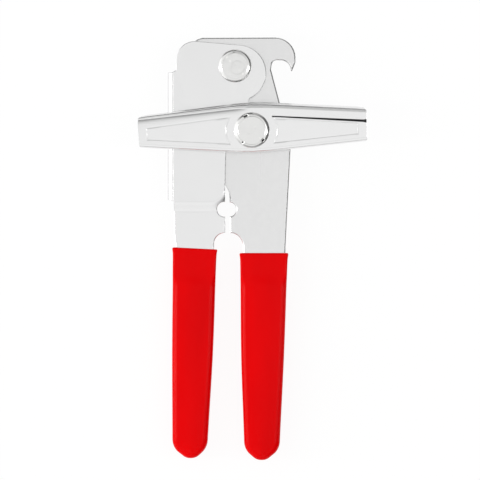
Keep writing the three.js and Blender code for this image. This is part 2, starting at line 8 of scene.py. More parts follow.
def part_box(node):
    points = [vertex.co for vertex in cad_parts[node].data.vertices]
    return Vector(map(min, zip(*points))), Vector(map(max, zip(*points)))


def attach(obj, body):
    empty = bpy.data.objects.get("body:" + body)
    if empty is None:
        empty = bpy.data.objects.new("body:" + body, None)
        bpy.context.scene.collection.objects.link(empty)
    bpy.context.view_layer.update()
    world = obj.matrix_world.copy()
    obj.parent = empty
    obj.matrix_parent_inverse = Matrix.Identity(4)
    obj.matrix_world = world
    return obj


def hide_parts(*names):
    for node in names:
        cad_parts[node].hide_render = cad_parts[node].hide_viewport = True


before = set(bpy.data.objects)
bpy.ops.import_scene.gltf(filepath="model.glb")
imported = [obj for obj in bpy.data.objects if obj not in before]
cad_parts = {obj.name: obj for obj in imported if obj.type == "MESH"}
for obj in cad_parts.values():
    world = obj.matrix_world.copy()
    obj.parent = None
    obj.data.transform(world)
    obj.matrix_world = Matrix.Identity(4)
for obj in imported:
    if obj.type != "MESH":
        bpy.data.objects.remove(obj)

scene = bpy.context.scene
mm = 0.001
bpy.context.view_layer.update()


def nodeBox(node):
    low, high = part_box(node)
    return low / mm, high / mm


def nodeCentre(node):
    low, high = nodeBox(node)
    return (low + high) / 2


# places taken from the frame, in millimetres
backLow, backHigh = nodeBox("right_handle")
frontLow, frontHigh = nodeBox("left_handle")
keyLow, keyHigh = nodeBox("turn_key")
shaftLow, shaftHigh = nodeBox("drive_shaft")
rivetLow, rivetHigh = nodeBox("pivot_rivet")
stud = nodeCentre("cutter_stud")
pivot = nodeCentre("pivot_rivet")
sheet = 1.6
plateFront = backHigh.z
plateRear = plateFront - sheet
raisedFront = frontHigh.z

# camera, lights and floor
camera = dict(height=1.6, aimX=-0.0049, aimY=-0.0458, across=0.2013, sensor=36.0)


def addCamera():
    data = bpy.data.cameras.new("camera")
    data.sensor_width = camera["sensor"]
    data.lens = camera["sensor"] * (camera["height"] - plateFront * mm) / camera["across"]
    data.clip_end = 20
    eye = bpy.data.objects.new("camera", data)
    eye.location = (camera["aimX"], camera["aimY"], camera["height"])
    scene.collection.objects.link(eye)
    scene.camera = eye


softboxes = dict(
    left=dict(place=(-1.2, -0.1, 0.75), size=(0.16, 1.4), watts=4.0),
    right=dict(place=(0.95, -0.1, 1.0), size=(0.16, 1.4), watts=2.8),
)
tent = dict(strength=1.0, leftGlow=1.3, nearDark=0.75, rightDark=0.9, gapDark=0.9, lowDark=0.85,
            farPanel=0.95, farCorner=0.5, ringDark=0.22)


def addLights():
    for name, box in softboxes.items():
        data = bpy.data.lights.new(name + "_softbox", "AREA")
        data.shape = "RECTANGLE"
        data.size, data.size_y = box["size"]
        data.energy = box["watts"]
        lamp = bpy.data.objects.new(name + "_softbox", data)
        lamp.location = box["place"]
        lamp.rotation_euler = Vector(box["place"]).to_track_quat("Z", "Y").to_euler()
        scene.collection.objects.link(lamp)


# a white light tent: bright at the left, open low in front and at the right, a dark gap high at the far left
def addTent():
    world = bpy.data.worlds.new("tent")
    world.use_nodes = True
    tree = world.node_tree
    direction = addNode(tree, "ShaderNodeTexCoord").outputs["Generated"]
    x, y, z = addNode(tree, "ShaderNodeSeparateXYZ", {"Vector": direction}).outputs

    def times(*values):
        product = values[0]
        for value in values[1:]:
            product = mathNode(tree, "MULTIPLY", product, value)
        return product

    def without(mask, share):
        return mathNode(tree, "SUBTRACT", 1.0, times(mask, share))

    glow = spread(tree, x, -0.9, -0.3, tent["leftGlow"], 1.0)
    near = times(spread(tree, y, -0.2, -0.8), spread(tree, z, 0.30, 0.05))
    right = times(spread(tree, x, 0.18, 0.75), spread(tree, z, 0.85, 0.5))
    gap = times(spread(tree, y, 0.08, 0.40), spread(tree, y, 0.62, 0.55), spread(tree, x, 0.005, -0.02),
                spread(tree, x, -0.14, -0.10))
    low = times(spread(tree, y, 0.5, 0.8), spread(tree, z, 0.50, 0.36), spread(tree, x, 0.075, 0.055))
    panel = times(spread(tree, y, 0.3, 0.7),
                  spread(tree, x, -0.14, 0.06, 1 - tent["farPanel"], 1 - tent["farCorner"]))
    tilt = mathNode(tree, "SQRT", mathNode(tree, "ADD", times(x, x), times(y, y)))
    ring = times(spread(tree, tilt, 0.10, 0.24), spread(tree, tilt, 0.62, 0.42),
                 spread(tree, y, -0.4, 0.0, 0.35, 1.0))
    light = times(glow, without(ring, tent["ringDark"]), without(near, tent["nearDark"]),
                  without(right, tent["rightDark"]),
                  without(gap, tent["gapDark"]), without(low, tent["lowDark"]), without(panel, 1.0),
                  tent["strength"])
    tree.links.new(light, tree.nodes["Background"].inputs["Strength"])
    tree.nodes["Background"].inputs["Color"].default_value = (1, 1, 1, 1)
    scene.world = world
    scene.view_settings.view_transform = "Standard"


def addFloor():
    bm = bmesh.new()
    bmesh.ops.create_grid(bm, x_segments=4, y_segments=4, size=3.0)
    mesh = bpy.data.meshes.new("floor")
    bm.to_mesh(mesh)
    bm.free()
    floor = bpy.data.objects.new("floor", mesh)
    floor.location.z = -0.0002
    scene.collection.objects.link(floor)
    paper = bpy.data.materials.new("floorPaper")
    paper.use_nodes = True
    shader = paper.node_tree.nodes["Principled BSDF"]
    shader.inputs["Base Color"].default_value = (0.08, 0.08, 0.08, 1)
    shader.inputs["Roughness"].default_value = 0.9
    shader.inputs["Specular IOR Level"].default_value = 0.0
    shader.inputs["Emission Color"].default_value = (1, 1, 1, 1)
    shader.inputs["Emission Strength"].default_value = 0.925
    mesh.materials.append(paper)


# shader groups
def newGroup(name, inputs, outputs):
    group = bpy.data.node_groups.new(name, "ShaderNodeTree")
    for label, kind, value in inputs:
        socket = group.interface.new_socket(name=label, in_out="INPUT", socket_type=kind)
        socket.default_value = value
    for label, kind in outputs:
        group.interface.new_socket(name=label, in_out="OUTPUT", socket_type=kind)
    return group, group.nodes.new("NodeGroupInput"), group.nodes.new("NodeGroupOutput")


def addNode(tree, kind, links=None, **settings):
    node = tree.nodes.new(kind)
    for setting, value in settings.items():
        setattr(node, setting, value)
    for socket, source in (links or {}).items():
        if isinstance(source, bpy.types.NodeSocket):
            tree.links.new(source, node.inputs[socket])
        else:
            node.inputs[socket].default_value = source
    return node


def mathNode(tree, operation, first, second=0.0, clamp=False):
    return addNode(tree, "ShaderNodeMath", {0: first, 1: second}, operation=operation, use_clamp=clamp).outputs[0]


def spread(tree, value, low, high, toLow=0.0, toHigh=1.0):
    links = {"Value": value, "From Min": low, "From Max": high, "To Min": toLow, "To Max": toHigh}
    return addNode(tree, "ShaderNodeMapRange", links).outputs["Result"]


def stretchedNoise(tree, place, stretch, scale, detail=3.0):
    mapped = addNode(tree, "ShaderNodeMapping", {"Vector": place, "Scale": stretch}).outputs["Vector"]
    noise = addNode(tree, "ShaderNodeTexNoise", {"Vector": mapped, "Scale": scale, "Detail": detail})
    return noise.outputs["Fac"]


# rolled sheet under plating: long fine grain, cloudy reflections, a few hair scratches
def buildPlateGrain():
    group, given, out = newGroup("plateGrain", [
        ("Stretch", "NodeSocketVector", (1.0, 0.06, 1.0)),
        ("Grain Size", "NodeSocketFloat", 2600.0),
        ("Scratches", "NodeSocketFloat", 0.3),
    ], [("Height", "NodeSocketFloat"), ("Cloud", "NodeSocketFloat"), ("Scratch", "NodeSocketFloat")])
    place = addNode(group, "ShaderNodeTexCoord").outputs["Object"]
    stretched = addNode(group, "ShaderNodeMapping", {"Vector": place, "Scale": given.outputs["Stretch"]})
    fine = stretched.outputs["Vector"]
    grain = addNode(group, "ShaderNodeTexNoise", {
        "Vector": fine, "Scale": given.outputs["Grain Size"], "Detail": 4.0}).outputs["Fac"]
    cloud = stretchedNoise(group, place, (1.0, 0.7, 1.0), 55.0, 4.0)
    hair = stretchedNoise(group, place, (1.0, 0.02, 1.0), 1400.0, 1.0)
    scratch = mathNode(group, "MULTIPLY", spread(group, hair, 0.70, 0.76), given.outputs["Scratches"], True)
    height = mathNode(group, "SUBTRACT", grain, scratch)
    group.links.new(height, out.inputs["Height"])
    group.links.new(cloud, out.inputs["Cloud"])
    group.links.new(scratch, out.inputs["Scratch"])
    return group


# rubbed corners and edges
def buildEdgeWear():
    group, given, out = newGroup("edgeWear", [
        ("Start", "NodeSocketFloat", 0.52),
        ("Full", "NodeSocketFloat", 0.58),
        ("Break Up", "NodeSocketFloat", 600.0),
    ], [("Mask", "NodeSocketFloat")])
    sharp = addNode(group, "ShaderNodeNewGeometry").outputs["Pointiness"]
    place = addNode(group, "ShaderNodeTexCoord").outputs["Object"]
    patch = addNode(group, "ShaderNodeTexNoise", {
        "Vector": place, "Scale": given.outputs["Break Up"], "Detail": 3.0}).outputs["Fac"]
    edge = addNode(group, "ShaderNodeMapRange", {
        "Value": sharp, "From Min": given.outputs["Start"], "From Max": given.outputs["Full"]}).outputs["Result"]
    mask = mathNode(group, "MULTIPLY", edge, spread(group, patch, 0.35, 0.6, 0.3, 1.0), True)
    group.links.new(mask, out.inputs["Mask"])
    return group


# handling marks: soft blotches and a little dust
def buildSmudge():
    group, given, out = newGroup("smudge", [
        ("Size", "NodeSocketFloat", 90.0),
        ("Amount", "NodeSocketFloat", 0.5),
    ], [("Mask", "NodeSocketFloat"), ("Dust", "NodeSocketFloat")])
    place = addNode(group, "ShaderNodeTexCoord").outputs["Object"]
    blot = addNode(group, "ShaderNodeTexNoise", {
        "Vector": place, "Scale": given.outputs["Size"], "Detail": 5.0, "Distortion": 0.6}).outputs["Fac"]
    mask = mathNode(group, "MULTIPLY", spread(group, blot, 0.48, 0.68), given.outputs["Amount"], True)
    speck = addNode(group, "ShaderNodeTexNoise", {"Vector": place, "Scale": 3200.0, "Detail": 1.0}).outputs["Fac"]
    dust = mathNode(group, "MULTIPLY", spread(group, speck, 0.74, 0.80), given.outputs["Amount"], True)
    group.links.new(mask, out.inputs["Mask"])
    group.links.new(dust, out.inputs["Dust"])
    return group


groups = {}


def placeGroup(tree, name, **values):
    node = tree.nodes.new("ShaderNodeGroup")
    node.node_tree = groups[name]
    for label, value in values.items():
        node.inputs[label.replace("_", " ")].default_value = value
    return node


def newMaterial(name):
    material = bpy.data.materials.new(name)
    material.use_nodes = True
    tree = material.node_tree
    return material, tree, tree.nodes["Principled BSDF"]


def mixColour(tree, factor, first, second):
    node = addNode(tree, "ShaderNodeMix", {"Factor": factor}, data_type="RGBA")
    for index, colour in ((6, first), (7, second)):
        if isinstance(colour, bpy.types.NodeSocket):
            tree.links.new(colour, node.inputs[index])
        else:
            node.inputs[index].default_value = (*colour, 1)
    return node.outputs[2]


# metals
metals = dict(
    platedFront=dict(colour=(0.84, 0.84, 0.84), dull=(0.78, 0.78, 0.78), rough=0.22, grain=2400, bump=0.05,
                     stretch=(1.0, 0.05, 1.0), rub=0.3, cloud=0.1, marks=0.04, worn=(0.92, 0.92, 0.91)),
    # painted shade: the back plate's plating is a darker copy of the front plate's, for the shade on the lower
    # plate
    platedBackShaded=dict(colour=(0.79, 0.79, 0.79), dull=(0.72, 0.72, 0.72), rough=0.25, grain=2400, bump=0.05,
                    stretch=(1.0, 0.05, 1.0), rub=0.3, cloud=0.1, marks=0.04, worn=(0.9, 0.9, 0.89)),
    platedKey=dict(colour=(0.85, 0.85, 0.85), dull=(0.79, 0.79, 0.79), rough=0.19, grain=2600, bump=0.05,
                   stretch=(0.05, 1.0, 1.0), rub=0.3, cloud=0.1, marks=0.04, worn=(0.93, 0.93, 0.92)),
    stakedRivet=dict(colour=(0.80, 0.80, 0.79), dull=(0.66, 0.66, 0.65), rough=0.18, grain=1800, bump=0.05,
                     stretch=(1.0, 1.0, 1.0), worn=(0.93, 0.93, 0.9)),
    # painted shade: near-black for the shaded inside of the key's tube and for the shaft head's stake marks
    paintedShadeBlack=dict(colour=(0.07, 0.07, 0.07), dull=(0.04, 0.04, 0.04), rough=0.55, grain=900, bump=0.2,
                    stretch=(0.05, 1.0, 1.0), worn=(0.1, 0.1, 0.1)),
    turnedSteel=dict(colour=(0.60, 0.60, 0.61), dull=(0.45, 0.45, 0.45), rough=0.32, grain=1500, bump=0.12,
                     stretch=(0.6, 0.6, 3.0), worn=(0.78, 0.78, 0.78)),
    gearSteel=dict(colour=(0.50, 0.50, 0.51), dull=(0.33, 0.33, 0.33), rough=0.36, grain=1300, bump=0.16,
                   stretch=(1.0, 1.0, 0.3), worn=(0.74, 0.74, 0.73)),
    groundBlade=dict(colour=(0.66, 0.67, 0.69), dull=(0.5, 0.5, 0.52), rough=0.22, grain=2200, bump=0.10,
                     stretch=(1.0, 1.0, 1.0), worn=(0.9, 0.9, 0.92)),
)


def metalMaterial(name):
    look = metals[name]
    material, tree, shader = newMaterial(name)
    grain = placeGroup(tree, "plateGrain", Stretch=look["stretch"], Grain_Size=look["grain"], Scratches=0.12)
    wear = placeGroup(tree, "edgeWear", Start=0.515, Full=0.56)
    marks = placeGroup(tree, "smudge", Size=110.0, Amount=0.45)
    cloud = spread(tree, grain.outputs["Cloud"], 0.3, 0.75)
    clouding = mathNode(tree, "MULTIPLY", cloud, look.get("cloud", 0.2))
    colour = mixColour(tree, clouding, look["colour"], look["dull"])
    colour = mixColour(tree, mathNode(tree, "MULTIPLY", marks.outputs["Dust"], 0.5), colour, (0.5, 0.5, 0.5))
    worn = mathNode(tree, "MULTIPLY", wear.outputs["Mask"], look.get("rub", 0.6))
    colour = mixColour(tree, worn, colour, look["worn"])
    marking = mathNode(tree, "MULTIPLY", marks.outputs["Mask"], look.get("marks", 0.10))
    rough = mathNode(tree, "ADD", marking, look["rough"])
    rough = mathNode(tree, "ADD", rough, mathNode(tree, "MULTIPLY", grain.outputs["Scratch"], 0.15))
    bump = addNode(tree, "ShaderNodeBump", {
        "Height": grain.outputs["Height"], "Strength": look["bump"], "Distance": 0.0002})
    tree.links.new(colour, shader.inputs["Base Color"])
    tree.links.new(rough, shader.inputs["Roughness"])
    tree.links.new(bump.outputs["Normal"], shader.inputs["Normal"])
    shader.inputs["Metallic"].default_value = 1.0
    return material


vinyl = dict(colour=(0.80, 0.0, 0.001), deep=(0.73, 0.0, 0.001), rough=0.2)


def vinylMaterial():
    material, tree, shader = newMaterial("dippedVinyl")
    marks = placeGroup(tree, "smudge", Size=70.0, Amount=0.6)
    wear = placeGroup(tree, "edgeWear", Start=0.53, Full=0.60)
    place = addNode(tree, "ShaderNodeTexCoord").outputs["Object"]
    flow = stretchedNoise(tree, place, (1.0, 0.35, 1.0), 60.0, 3.0)
    pores = stretchedNoise(tree, place, (1.0, 1.0, 1.0), 1500.0, 2.0)
    colour = mixColour(tree, spread(tree, flow, 0.35, 0.7), vinyl["colour"], vinyl["deep"])
    colour = mixColour(tree, mathNode(tree, "MULTIPLY", wear.outputs["Mask"], 0.25), colour, (0.86, 0.05, 0.05))
    rough = mathNode(tree, "ADD", mathNode(tree, "MULTIPLY", marks.outputs["Mask"], 0.12), vinyl["rough"])
    height = mathNode(tree, "ADD", flow, mathNode(tree, "MULTIPLY", pores, 0.05))
    bump = addNode(tree, "ShaderNodeBump", {"Height": height, "Strength": 0.12, "Distance": 0.0008})
    tree.links.new(colour, shader.inputs["Base Color"])
    tree.links.new(rough, shader.inputs["Roughness"])
    tree.links.new(bump.outputs["Normal"], shader.inputs["Normal"])
    shader.inputs["Specular IOR Level"].default_value = 0.05
    return material


# mesh helpers
def arcPoints(centre, radius, start, end, count=10):
    steps = [start + (end - start) * i / count for i in range(count + 1)]
    return [Vector((centre[0] + radius * math.cos(a), centre[1] + radius * math.sin(a))) for a in steps]


# corners as (x, y) or (x, y, radius); each round corner becomes a fan of as many points
def roundOutline(corners, count=8):
    points = []
    spots = [Vector(corner[:2]) for corner in corners]
    for i, corner in enumerate(corners):
        here = spots[i]
        before = (spots[i - 1] - here).normalized()
        after = (spots[(i + 1) % len(spots)] - here).normalized()
        radius = corner[2] if len(corner) > 2 else 0
        half = before.angle(after) / 2
        if radius == 0 or half > math.pi / 2 - 0.01:
            points.append(here)
            continue
        centre = here + (before + after).normalized() * radius / math.sin(half)
        start = here + before * radius / math.tan(half) - centre
        end = here + after * radius / math.tan(half) - centre
        first = math.atan2(start.y, start.x)
        sweep = (math.atan2(end.y, end.x) - first + math.pi) % (2 * math.pi) - math.pi
        points += arcPoints(centre, radius, first, first + sweep, count)
    return points


def addPiece(name, bm, body, material, nodes, sharp=35):
    bmesh.ops.recalc_face_normals(bm, faces=bm.faces)
    bmesh.ops.scale(bm, vec=(mm, mm, mm), verts=bm.verts)
    mesh = bpy.data.meshes.new(name)
    bm.to_mesh(mesh)
    bm.free()
    mesh.shade_smooth()
    mesh.set_sharp_from_angle(angle=math.radians(sharp))
    mesh.materials.append(materials[material])
    piece = bpy.data.objects.new(name, mesh)
    scene.collection.objects.link(piece)
    weighted = piece.modifiers.new("evenFaces", "WEIGHTED_NORMAL")
    weighted.keep_sharp = True
    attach(piece, body)
    if nodes:
        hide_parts(*nodes)
    return piece


# moves a closed line sideways by a distance, to the left of its direction
def offsetLoop(points, distance):
    moved = []
    for i, point in enumerate(points):
        before = (point - points[i - 1]).normalized()
        after = (points[(i + 1) % len(points)] - point).normalized()
        first = Vector((-before.y, before.x))
        second = Vector((-after.y, after.x))
        moved.append(point + (first + second) * distance / max(0.4, 1 + first.dot(second)))
    return moved


def cleanLoop(points, ccw=True):
    kept = []
    for point in points:
        if not kept or (point - kept[-1]).length > 0.02:
            kept.append(Vector(point))
    if (kept[0] - kept[-1]).length < 0.02:
        kept.pop()
    area = sum(kept[i - 1].x * kept[i].y - kept[i].x * kept[i - 1].y for i in range(len(kept)))
    return kept if (area > 0) == ccw else kept[::-1]


def circle(x, y, radius, count=48):
    return arcPoints((x, y), radius, 0, 2 * math.pi * (count - 1) / count, count - 1)


# a flat plate with sheared, slightly rolled front edges and round holes
def plateBmesh(outline, holes, zLow, zHigh, edge):
    bm = bmesh.new()
    width, depth = edge
    rows = [(0.12, zLow), (0.0, zLow + 0.12), (0.0, zHigh - depth - 0.05), (0.06, zHigh - depth + 0.02),
            (width - 0.08, zHigh - 0.045), (width, zHigh)]
    ends = ([], [])
    for loop in [cleanLoop(outline)] + [cleanLoop(hole, False) for hole in holes]:
        rings = []
        for inset, z in rows:
            rings.append([bm.verts.new((p.x, p.y, z)) for p in offsetLoop(loop, inset)])
        for low, high in zip(rings, rings[1:]):
            for i in range(len(loop)):
                j = (i + 1) % len(loop)
                bm.faces.new((low[i], low[j], high[j], high[i]))
        for end, ringVerts in zip(ends, (rings[0], rings[-1])):
            end += [bm.edges.get((ringVerts[i - 1], ringVerts[i])) for i in range(len(loop))]
    for end in ends:
        bmesh.ops.triangle_fill(bm, use_beauty=True, edges=end)
    return bm


def sliceAcross(bm, axis, places):
    normal = Vector((0, 0, 0))
    normal[axis] = 1
    for place in places:
        geom = bm.verts[:] + bm.edges[:] + bm.faces[:]
        bmesh.ops.bisect_plane(bm, geom=geom, dist=1e-5, plane_co=normal * place, plane_no=normal)


def evenSteps(low, high, step):
    count = max(1, round((high - low) / step))
    return [low + (high - low) * i / count for i in range(count + 1)]


def smooth(value):
    value = min(1.0, max(0.0, value))
    return value * value * (3 - 2 * value)


# a turned part: a profile of (radius, height, corner round) spun about an upright axis
def turnedBmesh(profile, centre, sides=96, shape=None, rings=0.5):
    line = roundOutline([(0, profile[0][1] - 99)] + list(profile) + [(0, profile[-1][1] + 99)], 4)[1:-1]
    dense = [line[0]]
    for point in line[1:]:
        steps = max(1, math.ceil((point - dense[-1]).length / rings)) if shape else 1
        start = dense[-1]
        dense += [start.lerp(point, (k + 1) / steps) for k in range(steps)]
    bm = bmesh.new()
    rows = []
    for radius, height in dense:
        if radius < 1e-6:
            rows.append([bm.verts.new((centre.x, centre.y, height))])
            continue
        row = []
        for k in range(sides):
            angle = 2 * math.pi * k / sides
            x, y = radius * math.cos(angle), radius * math.sin(angle)
            drop = shape(x, y, height) if shape else 0
            row.append(bm.verts.new((centre.x + x, centre.y + y, height - drop)))
        rows.append(row)
    for low, high in zip(rows, rows[1:]):
        for k in range(sides):
            n = (k + 1) % sides
            corners = [low[k % len(low)], low[n % len(low)], high[n % len(high)], high[k % len(high)]]
            distinct = list(dict.fromkeys(corners))
            if len(distinct) > 2:
                bm.faces.new(distinct)
    return bm


# back plate with the bottle hook: right handle
slotX = -10.2
slotGap = 1.9
notchY = -33.0
notchRadius = 3.05
notchShift = 0.28
notchTurn = math.acos(notchShift / notchRadius)
archTop = -42.8
frontEdge = (0.30, 0.22)
backEdge = (0.52, 0.40)
plateStub = -57.0
back = dict(hookNeck=15.1, hookMouth=8.2, leftEdge=-11.0, rightEdge=14.0)


def buildBackPlate():
    slotEdge = slotX + slotGap / 2
    gripLow, gripHigh = nodeBox("right_grip")
    coreLeft = gripLow.x + 1.2
    coreRight = back["rightEdge"]
    archRadius = coreLeft - slotEdge
    neckX = pivot.x + back["hookNeck"]
    tipX = neckX + back["hookMouth"]
    top = backHigh.y
    low = [
        (pivot.x - 14.0, top - 0.2, 1.5), (pivot.x - 18.6, pivot.y + 10.2, 4), (pivot.x - 16.5, pivot.y - 6, 6),
        (back["leftEdge"], 7, 8), (back["leftEdge"] - 1, -18, 4),
        (slotEdge - 1.9, -22.8), (slotEdge - 0.4, -25.6),
        (slotEdge, -28.6),
    ]
    notch = arcPoints((slotEdge - notchShift, notchY), notchRadius, notchTurn, -notchTurn, 18)
    arch = arcPoints((slotEdge, archTop - archRadius), archRadius, math.radians(90), 0, 10)
    high = [
        (coreLeft, plateStub), (coreRight, plateStub), (coreRight + 0.2, -48.5), (coreRight + 2.4, -6, 10),
        (coreRight + 1.8, 3, 8), (neckX + 3.7, pivot.y - 15.4, 12), (neckX, pivot.y - 1.3, 2),
        (neckX + 0.6, pivot.y + 2.5, 2.2), (tipX - 0.5, pivot.y + 2.5, 4.2), (tipX + 0.2, pivot.y - 2.0),
        (tipX + 0.6, pivot.y - 2.1), (tipX + 2.1, pivot.y + 1.6, 4), (tipX + 2.1, top, 8.5),
    ]
    outline = roundOutline(low + [tuple(p) for p in notch + arch] + high)
    holes = [circle(pivot.x, pivot.y, 3.25), circle(0, 0, 5.4)]
    bm = plateBmesh(outline, holes, plateRear, plateFront, backEdge)
    return addPiece("back_plate", bm, "right_arm", "platedBackShaded", ["right_handle"], 25)


# front plate with the joggle and folded flange: left handle
front = dict(foldX=-33.0, foldRadius=2.2, flangeTop=24.5, flangeBottom=-29.1, flangeDepth=5.6,
             joggleY=-29.4, joggleRun=5.0, rimRadius=5.8, recess=10.8, roundEnd=11.8,
             foldLine=0.07)


# how far a point lies outside the raised part of the plate
def outsideRaised(x, y):
    centreX = slotX - 7.2
    centreY = front["joggleY"] + front["rimRadius"]
    if x < centreX:
        return front["joggleY"] - y
    if y < centreY:
        return math.hypot(x - centreX, y - centreY) - front["rimRadius"]
    return x - centreX - front["rimRadius"] - (y - centreY) * 3


def shapeFrontPlate(vertex):
    x, y, z = vertex.co
    step = raisedFront - plateFront
    if z > raisedFront - 0.3:
        vertex.co.z -= front["foldLine"] * math.exp(-((x - front["foldX"]) / 0.14) ** 2)
    vertex.co.z -= step * smooth(outsideRaised(x, y) / front["joggleRun"])
    along = front["foldX"] - x
    if along <= 0 or not front["flangeBottom"] - 0.3 <= y <= front["flangeTop"] + 0.3:
        return
    neutral = front["foldRadius"] - sheet / 2
    radius = front["foldRadius"] - (raisedFront - vertex.co.z)
    angle = min(along / neutral, math.pi / 2)
    beyond = max(0.0, along - neutral * math.pi / 2)
    centreZ = raisedFront - front["foldRadius"]
    vertex.co.x = front["foldX"] - radius * math.sin(angle)
    vertex.co.z = centreZ + radius * math.cos(angle) - beyond


def buildFrontPlate():
    slotEdge = slotX - slotGap / 2
    gripLow, gripHigh = nodeBox("left_grip")
    coreLeft = gripLow.x + 1.4
    coreRight = gripHigh.x - 1.2
    archRadius = slotEdge - coreRight
    foldX = front["foldX"]
    neutral = (front["foldRadius"] - sheet / 2) * math.pi / 2
    tabX = foldX - neutral - front["flangeDepth"] + front["foldRadius"]
    roundEnd = arcPoints((pivot.x + 1.3, pivot.y - 2.9), front["roundEnd"],
                         math.radians(-66), math.radians(84.5), 24)
    arch = arcPoints((slotEdge, archTop - archRadius), archRadius, math.pi, math.pi / 2, 10)
    notch = arcPoints((slotEdge - notchShift, notchY), notchRadius, 2 * math.pi - notchTurn, notchTurn, 18)
    recess = arcPoints((0, 0), front["recess"], math.radians(186), math.radians(98), 16)
    edge = [
        (foldX + 1.2, pivot.y + 11.2, 8), (foldX + 1.2, front["flangeTop"] + 0.8, 0.4),
        (foldX + 0.2, front["flangeTop"] + 0.3),
        (foldX, front["flangeTop"]), (tabX, front["flangeTop"], 0.8), (tabX, front["flangeBottom"], 0.8),
        (foldX - 0.1, front["flangeBottom"]), (foldX + 0.2, front["flangeBottom"] - 0.6, 0.4),
        (foldX + 0.4, front["joggleY"] - 3, 2),
        (foldX + 0.4, archTop), (coreLeft, -48.5), (coreLeft, plateStub), (coreRight, plateStub),
    ]
    rim = [(slotEdge, front["joggleY"] + 6), (slotEdge + 0.4, -9.9)]
    outline = roundOutline([tuple(p) for p in roundEnd] + edge + [tuple(p) for p in arch + notch] + rim
                           + [tuple(p) for p in recess])
    holes = [circle(pivot.x, pivot.y, 3.25), circle(stud.x, stud.y, 3.25)]
    bm = plateBmesh(outline, holes, raisedFront - sheet, raisedFront, frontEdge)
    low = front["joggleY"] - front["joggleRun"] - 0.4
    sliceAcross(bm, 1, evenSteps(low, front["joggleY"] + 0.4, 0.3))
    sliceAcross(bm, 1, evenSteps(front["joggleY"] + 0.4, front["joggleY"] + 9, 0.5))
    sliceAcross(bm, 0, evenSteps(slotX - 8, slotX, 0.4))
    beforeFold = evenSteps(foldX - neutral - 0.1, foldX - 0.3, 0.25)
    sliceAcross(bm, 0, beforeFold + evenSteps(foldX - 0.3, foldX + 0.3, 0.1))
    for vertex in bm.verts:
        shapeFrontPlate(vertex)
    return addPiece("front_plate", bm, "left_arm", "platedFront", ["left_handle"], 25)


# dipped grips
grips = dict(
    left_grip=dict(body="left_arm", outerTop=-33.1, innerTop=-14.6, outerLow=-33.3, innerLow=-18.6, tipX=-25.4,
                   slant=0.9, outerBow=0.22, innerBow=0.46),
    right_grip=dict(body="right_arm", outerTop=15.2, innerTop=-4.9, outerLow=11.7, innerLow=-3.1, tipX=4.1,
                    slant=0.0, outerBow=0.24, innerBow=0.48),
)
gripShape = dict(coat=4.0, lip=1.2, flatEnd=-60.0, run=5.0, flatRound=0.9, fullRound=2.7, tipRise=4.5,
                 tipRadius=5.0, shoulder=7.5, crown=0.45, rows=90, rim=0.7, ear=0.28, earReach=1.6)


# one long side of a grip from its top corner to the tip, as points with inward directions
def gripSide(grip, outer, top, tip):
    upper = grip["outerTop"] if outer else grip["innerTop"]
    lower = grip["outerLow"] if outer else grip["innerLow"]
    corners = [(upper, top), (lower, tip + gripShape["tipRise"], gripShape["shoulder"]),
               (grip["tipX"], tip - 1.8, gripShape["tipRadius"])]
    mirror = (2 * grip["tipX"] - lower, tip + gripShape["tipRise"])
    line = roundOutline(corners + [mirror], 16)
    keep = line[:1 + 17 + 9]
    steps = gripShape["rows"]
    firstRows = [0.0, 0.03, 0.1, 0.22, 0.4, 0.7]
    reach = (keep[1] - keep[0]).length
    dense = [keep[0].lerp(keep[1], y / reach) for y in firstRows]
    dense += [keep[0].lerp(keep[1], (k + 1) / steps) for k in range(steps)]
    dense += keep[2:]
    dense[-1] = Vector((grip["tipX"], dense[-1].y))
    short = tip - dense[-1].y
    for k, point in enumerate(dense[-12:]):
        point.y += short * (k + 1) / 12
    toward = 1 if (grip["tipX"] - upper) > 0 else -1
    bow = grip["outerBow"] if outer else grip["innerBow"]
    for point in dense:
        point.x -= toward * bow * math.sin(math.pi * smooth((top - point.y) / (top - tip)))
    result = []
    for i, point in enumerate(dense):
        ahead = dense[min(i + 1, len(dense) - 1)] - dense[max(i - 1, 0)]
        inward = Vector((-ahead.y, ahead.x)).normalized() * toward
        if i == len(dense) - 1:
            inward = Vector((0, 1))
        result.append((point, inward))
    return result


